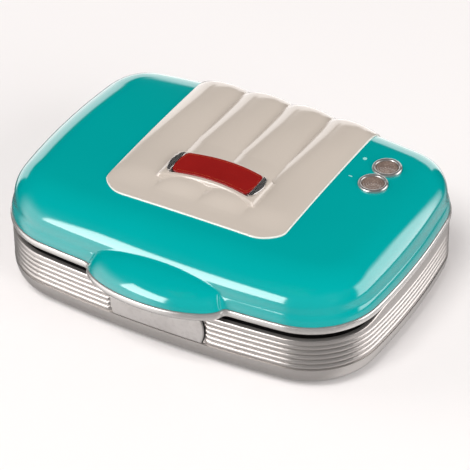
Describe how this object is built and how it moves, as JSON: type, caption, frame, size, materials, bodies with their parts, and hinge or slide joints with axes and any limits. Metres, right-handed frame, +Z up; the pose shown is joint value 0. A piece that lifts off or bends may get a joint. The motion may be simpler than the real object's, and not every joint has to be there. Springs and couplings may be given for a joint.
{
  "type": "waffle maker",
  "caption": "Closed electric waffle maker: ribbed base, glossy hinged lid with a front handle tongue, lobed inlay panel, badge plate and two round indicator lamps.",
  "frame": {"origin": "centre of the bounding box in plan, on the plane the rubber feet stand on", "axes": "+X to the right, +Y to the hinge side (the handle points to -Y), +Z up"},
  "size_m": [0.2518, 0.2044, 0.0821],
  "materials": {
    "satin_silver": "satin metallic, fine grain",
    "plaque_silver": "smooth satin metallic",
    "trim_silver": "semi-gloss metallic",
    "teal_gloss": "high gloss with clear coat",
    "cream_satin": "satin, very fine texture",
    "red_enamel": "gloss enamel with a gold inner line",
    "chrome": "polished",
    "lamp_smoke": "clear smoky lens",
    "bulb_glass": "clear amber glass",
    "dark_plastic": "fine moulded texture",
    "nonstick": "non-stick coating",
    "element_steel": "heat tinted",
    "bright_sheet": "bright rolled sheet",
    "zinc_steel": "zinc plated",
    "rubber": "matt",
    "ceramic": "unglazed",
    "wire_red": "glass-fibre sleeve"
  },
  "bodies": {
    "base": {"base_shell": "satin_silver", "bottom_cover": "dark_plastic", "front_plaque": "plaque_silver", "base_top_frame": "dark_plastic", "lower_plate": "nonstick", "lower_heating_element": "element_steel", "lower_reflector": "bright_sheet", "thermostat": "ceramic", "thermal_fuse": "ceramic", "terminal_block": "ceramic", "cord_inlet_bush": "rubber", "inner_wires": "wire_red", "foot_front_left": "rubber", "foot_front_right": "rubber", "foot_rear_left": "rubber", "foot_rear_right": "rubber", "cover_screws": "zinc_steel", "lower_plate_clips": "zinc_steel", "hinge_bracket_left": "dark_plastic", "hinge_bracket_right": "dark_plastic", "hinge_pin_left": "zinc_steel", "hinge_pin_right": "zinc_steel"},
    "lid": {"lid_shell": "teal_gloss", "lid_trim_ring": "trim_silver", "handle_liner": "dark_plastic", "inlay_panel": "cream_satin", "badge_frame": "chrome", "badge_plate": "red_enamel", "lamp_bezel_front": "chrome", "lamp_bezel_rear": "chrome", "lamp_lens_front": "lamp_smoke", "lamp_lens_rear": "lamp_smoke", "lamp_holder_front": "ceramic", "lamp_holder_rear": "ceramic", "lamp_bulb_front": "bulb_glass", "lamp_bulb_rear": "bulb_glass", "lid_inner_frame": "dark_plastic", "upper_plate": "nonstick", "upper_heating_element": "element_steel", "upper_reflector": "bright_sheet", "upper_plate_clips": "zinc_steel", "hinge_lug_left": "dark_plastic", "hinge_lug_right": "dark_plastic", "hinge_screws": "zinc_steel"}
  },
  "joints": [
    {"name": "lid_hinge", "type": "hinge", "parent": "base", "child": "lid", "pos_m": [0, 0.0982, 0.0424], "axis": [-1, 0, 0], "range_deg": [0, 100]}
  ]
}
